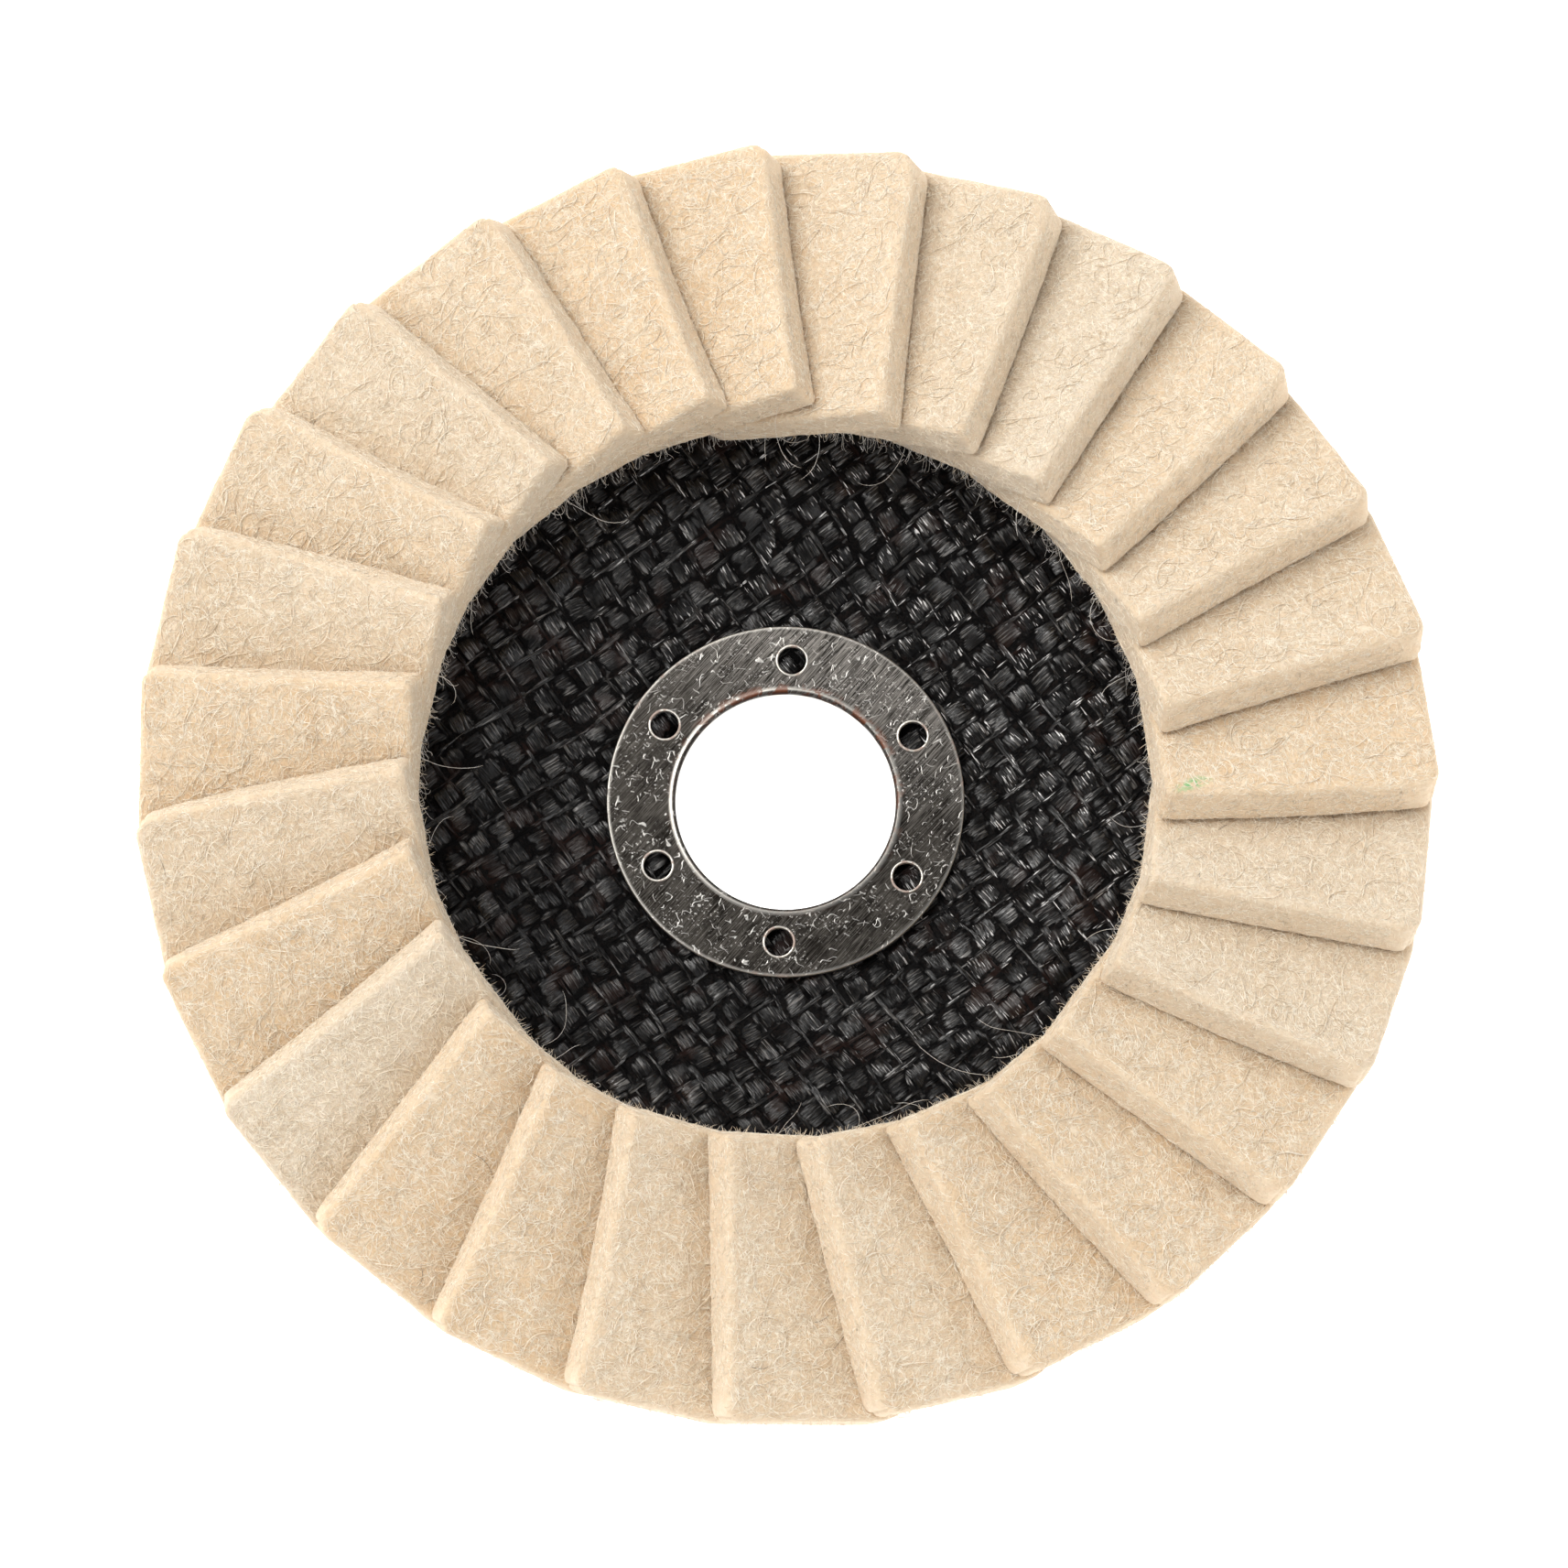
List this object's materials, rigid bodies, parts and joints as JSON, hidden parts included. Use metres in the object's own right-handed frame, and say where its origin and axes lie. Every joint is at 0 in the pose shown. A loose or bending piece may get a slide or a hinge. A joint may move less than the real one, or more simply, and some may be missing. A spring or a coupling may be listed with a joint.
{
  "type": "felt flap polishing disc",
  "caption": "Felt flap polishing disc: overlapping wool felt pads bonded round a dished black glass-cloth backing with a flanged steel ring in its bore.",
  "frame": {"origin": "on the axis of the bore, at the rear (grinder side) face of the hub", "axes": "+Z along the bore axis towards the felt working side; +Y towards the gap between the first and last flap, so the flaps count clockwise from +Y as seen from +Z"},
  "size_m": [0.1299, 0.1299, 0.0241],
  "materials": {
    "glass_laminate": "black phenolic resin over woven glass cloth, semi-gloss",
    "ring_steel": "zinc-plated sheet, brushed, lightly scratched, with specks of rust",
    "adhesive": "amber cured epoxy",
    "wool_felt": "dense undyed wool felt, matt"
  },
  "bodies": {
    "backing": {"rear_glass_ply": "glass_laminate", "middle_glass_ply": "glass_laminate", "front_glass_ply": "glass_laminate", "hub_ring": "ring_steel", "adhesive_ring": "adhesive"},
    "felt_flap_01": {"flap_01": "wool_felt"},
    "felt_flap_02": {"flap_02": "wool_felt"},
    "felt_flap_03": {"flap_03": "wool_felt"},
    "felt_flap_04": {"flap_04": "wool_felt"},
    "felt_flap_05": {"flap_05": "wool_felt"},
    "felt_flap_06": {"flap_06": "wool_felt"},
    "felt_flap_07": {"flap_07": "wool_felt"},
    "felt_flap_08": {"flap_08": "wool_felt"},
    "felt_flap_09": {"flap_09": "wool_felt"},
    "felt_flap_10": {"flap_10": "wool_felt"},
    "felt_flap_11": {"flap_11": "wool_felt"},
    "felt_flap_12": {"flap_12": "wool_felt"},
    "felt_flap_13": {"flap_13": "wool_felt"},
    "felt_flap_14": {"flap_14": "wool_felt"},
    "felt_flap_15": {"flap_15": "wool_felt"},
    "felt_flap_16": {"flap_16": "wool_felt"},
    "felt_flap_17": {"flap_17": "wool_felt"},
    "felt_flap_18": {"flap_18": "wool_felt"},
    "felt_flap_19": {"flap_19": "wool_felt"},
    "felt_flap_20": {"flap_20": "wool_felt"},
    "felt_flap_21": {"flap_21": "wool_felt"},
    "felt_flap_22": {"flap_22": "wool_felt"},
    "felt_flap_23": {"flap_23": "wool_felt"},
    "felt_flap_24": {"flap_24": "wool_felt"},
    "felt_flap_25": {"flap_25": "wool_felt"},
    "felt_flap_26": {"flap_26": "wool_felt"},
    "felt_flap_27": {"flap_27": "wool_felt"}
  },
  "joints": [
    {"name": "flap_01_flex", "type": "hinge", "parent": "backing", "child": "felt_flap_01", "pos_m": [-0.00582, 0.05043, 0.0082], "axis": [-0.0593, -0.9982, 0], "range_deg": [0, 10], "stiffness_Nm_per_rad": 0.05},
    {"name": "flap_02_flex", "type": "hinge", "parent": "backing", "child": "felt_flap_02", "pos_m": [0.00597, 0.05042, 0.0082], "axis": [-0.2879, -0.9577, 0], "range_deg": [0, 10], "stiffness_Nm_per_rad": 0.05},
    {"name": "flap_03_flex", "type": "hinge", "parent": "backing", "child": "felt_flap_03", "pos_m": [0.01743, 0.04768, 0.0082], "axis": [-0.501, -0.8654, 0], "range_deg": [0, 10], "stiffness_Nm_per_rad": 0.05},
    {"name": "flap_04_flex", "type": "hinge", "parent": "backing", "child": "felt_flap_04", "pos_m": [0.02796, 0.04238, 0.0082], "axis": [-0.6871, -0.7266, 0], "range_deg": [0, 10], "stiffness_Nm_per_rad": 0.05},
    {"name": "flap_05_flex", "type": "hinge", "parent": "backing", "child": "felt_flap_05", "pos_m": [0.03698, 0.03478, 0.0082], "axis": [-0.8361, -0.5485, 0], "range_deg": [0, 10], "stiffness_Nm_per_rad": 0.05},
    {"name": "flap_06_flex", "type": "hinge", "parent": "backing", "child": "felt_flap_06", "pos_m": [0.044, 0.02532, 0.0082], "axis": [-0.9401, -0.3409, 0], "range_deg": [0, 10], "stiffness_Nm_per_rad": 0.05},
    {"name": "flap_07_flex", "type": "hinge", "parent": "backing", "child": "felt_flap_07", "pos_m": [0.04866, 0.01449, 0.0082], "axis": [-0.9934, -0.1149, 0], "range_deg": [0, 10], "stiffness_Nm_per_rad": 0.05},
    {"name": "flap_08_flex", "type": "hinge", "parent": "backing", "child": "felt_flap_08", "pos_m": [0.05069, 0.00288, 0.0082], "axis": [-0.9931, 0.1172, 0], "range_deg": [0, 10], "stiffness_Nm_per_rad": 0.05},
    {"name": "flap_09_flex", "type": "hinge", "parent": "backing", "child": "felt_flap_09", "pos_m": [0.04998, -0.00889, 0.0082], "axis": [-0.9393, 0.3431, 0], "range_deg": [0, 10], "stiffness_Nm_per_rad": 0.05},
    {"name": "flap_10_flex", "type": "hinge", "parent": "backing", "child": "felt_flap_10", "pos_m": [0.04659, -0.02018, 0.0082], "axis": [-0.8348, 0.5505, 0], "range_deg": [0, 10], "stiffness_Nm_per_rad": 0.05},
    {"name": "flap_11_flex", "type": "hinge", "parent": "backing", "child": "felt_flap_11", "pos_m": [0.04068, -0.03038, 0.0082], "axis": [-0.6854, 0.7282, 0], "range_deg": [0, 10], "stiffness_Nm_per_rad": 0.05},
    {"name": "flap_12_flex", "type": "hinge", "parent": "backing", "child": "felt_flap_12", "pos_m": [0.03258, -0.03894, 0.0082], "axis": [-0.499, 0.8666, 0], "range_deg": [0, 10], "stiffness_Nm_per_rad": 0.05},
    {"name": "flap_13_flex", "type": "hinge", "parent": "backing", "child": "felt_flap_13", "pos_m": [0.02272, -0.0454, 0.0082], "axis": [-0.2857, 0.9583, 0], "range_deg": [0, 10], "stiffness_Nm_per_rad": 0.05},
    {"name": "flap_14_flex", "type": "hinge", "parent": "backing", "child": "felt_flap_14", "pos_m": [0.01163, -0.04942, 0.0082], "axis": [-0.057, 0.9984, 0], "range_deg": [0, 10], "stiffness_Nm_per_rad": 0.05},
    {"name": "flap_15_flex", "type": "hinge", "parent": "backing", "child": "felt_flap_15", "pos_m": [-0.00008, -0.05077, 0.0082], "axis": [0.1748, 0.9846, 0], "range_deg": [0, 10], "stiffness_Nm_per_rad": 0.05},
    {"name": "flap_16_flex", "type": "hinge", "parent": "backing", "child": "felt_flap_16", "pos_m": [-0.01178, -0.04938, 0.0082], "axis": [0.3971, 0.9178, 0], "range_deg": [0, 10], "stiffness_Nm_per_rad": 0.05},
    {"name": "flap_17_flex", "type": "hinge", "parent": "backing", "child": "felt_flap_17", "pos_m": [-0.02285, -0.04533, 0.0082], "axis": [0.5981, 0.8014, 0], "range_deg": [0, 10], "stiffness_Nm_per_rad": 0.05},
    {"name": "flap_18_flex", "type": "hinge", "parent": "backing", "child": "felt_flap_18", "pos_m": [-0.03269, -0.03884, 0.0082], "axis": [0.7668, 0.6419, 0], "range_deg": [0, 10], "stiffness_Nm_per_rad": 0.05},
    {"name": "flap_19_flex", "type": "hinge", "parent": "backing", "child": "felt_flap_19", "pos_m": [-0.04077, -0.03026, 0.0082], "axis": [0.8942, 0.4478, 0], "range_deg": [0, 10], "stiffness_Nm_per_rad": 0.05},
    {"name": "flap_20_flex", "type": "hinge", "parent": "backing", "child": "felt_flap_20", "pos_m": [-0.04665, -0.02004, 0.0082], "axis": [0.9733, 0.2295, 0], "range_deg": [0, 10], "stiffness_Nm_per_rad": 0.05},
    {"name": "flap_21_flex", "type": "hinge", "parent": "backing", "child": "felt_flap_21", "pos_m": [-0.05001, -0.00874, 0.0082], "axis": [1, -0.0012, 0], "range_deg": [0, 10], "stiffness_Nm_per_rad": 0.05},
    {"name": "flap_22_flex", "type": "hinge", "parent": "backing", "child": "felt_flap_22", "pos_m": [-0.05068, 0.00303, 0.0082], "axis": [0.9728, -0.2317, 0], "range_deg": [0, 10], "stiffness_Nm_per_rad": 0.05},
    {"name": "flap_23_flex", "type": "hinge", "parent": "backing", "child": "felt_flap_23", "pos_m": [-0.04861, 0.01463, 0.0082], "axis": [0.8931, -0.4498, 0], "range_deg": [0, 10], "stiffness_Nm_per_rad": 0.05},
    {"name": "flap_24_flex", "type": "hinge", "parent": "backing", "child": "felt_flap_24", "pos_m": [-0.04393, 0.02545, 0.0082], "axis": [0.7653, -0.6437, 0], "range_deg": [0, 10], "stiffness_Nm_per_rad": 0.05},
    {"name": "flap_25_flex", "type": "hinge", "parent": "backing", "child": "felt_flap_25", "pos_m": [-0.03688, 0.03489, 0.0082], "axis": [0.5962, -0.8028, 0], "range_deg": [0, 10], "stiffness_Nm_per_rad": 0.05},
    {"name": "flap_26_flex", "type": "hinge", "parent": "backing", "child": "felt_flap_26", "pos_m": [-0.02783, 0.04246, 0.0082], "axis": [0.395, -0.9187, 0], "range_deg": [0, 10], "stiffness_Nm_per_rad": 0.05},
    {"name": "flap_27_flex", "type": "hinge", "parent": "backing", "child": "felt_flap_27", "pos_m": [-0.01729, 0.04773, 0.0082], "axis": [0.1725, -0.985, 0], "range_deg": [0, 10], "stiffness_Nm_per_rad": 0.05}
  ],
  "couplings": [
    {"joint": "flap_02_flex", "follows": "flap_01_flex", "ratio": 1},
    {"joint": "flap_03_flex", "follows": "flap_01_flex", "ratio": 1},
    {"joint": "flap_04_flex", "follows": "flap_01_flex", "ratio": 1},
    {"joint": "flap_05_flex", "follows": "flap_01_flex", "ratio": 1},
    {"joint": "flap_06_flex", "follows": "flap_01_flex", "ratio": 1},
    {"joint": "flap_07_flex", "follows": "flap_01_flex", "ratio": 1},
    {"joint": "flap_08_flex", "follows": "flap_01_flex", "ratio": 1},
    {"joint": "flap_09_flex", "follows": "flap_01_flex", "ratio": 1},
    {"joint": "flap_10_flex", "follows": "flap_01_flex", "ratio": 1},
    {"joint": "flap_11_flex", "follows": "flap_01_flex", "ratio": 1},
    {"joint": "flap_12_flex", "follows": "flap_01_flex", "ratio": 1},
    {"joint": "flap_13_flex", "follows": "flap_01_flex", "ratio": 1},
    {"joint": "flap_14_flex", "follows": "flap_01_flex", "ratio": 1},
    {"joint": "flap_15_flex", "follows": "flap_01_flex", "ratio": 1},
    {"joint": "flap_16_flex", "follows": "flap_01_flex", "ratio": 1},
    {"joint": "flap_17_flex", "follows": "flap_01_flex", "ratio": 1},
    {"joint": "flap_18_flex", "follows": "flap_01_flex", "ratio": 1},
    {"joint": "flap_19_flex", "follows": "flap_01_flex", "ratio": 1},
    {"joint": "flap_20_flex", "follows": "flap_01_flex", "ratio": 1},
    {"joint": "flap_21_flex", "follows": "flap_01_flex", "ratio": 1},
    {"joint": "flap_22_flex", "follows": "flap_01_flex", "ratio": 1},
    {"joint": "flap_23_flex", "follows": "flap_01_flex", "ratio": 1},
    {"joint": "flap_24_flex", "follows": "flap_01_flex", "ratio": 1},
    {"joint": "flap_25_flex", "follows": "flap_01_flex", "ratio": 1},
    {"joint": "flap_26_flex", "follows": "flap_01_flex", "ratio": 1},
    {"joint": "flap_27_flex", "follows": "flap_01_flex", "ratio": 1}
  ]
}
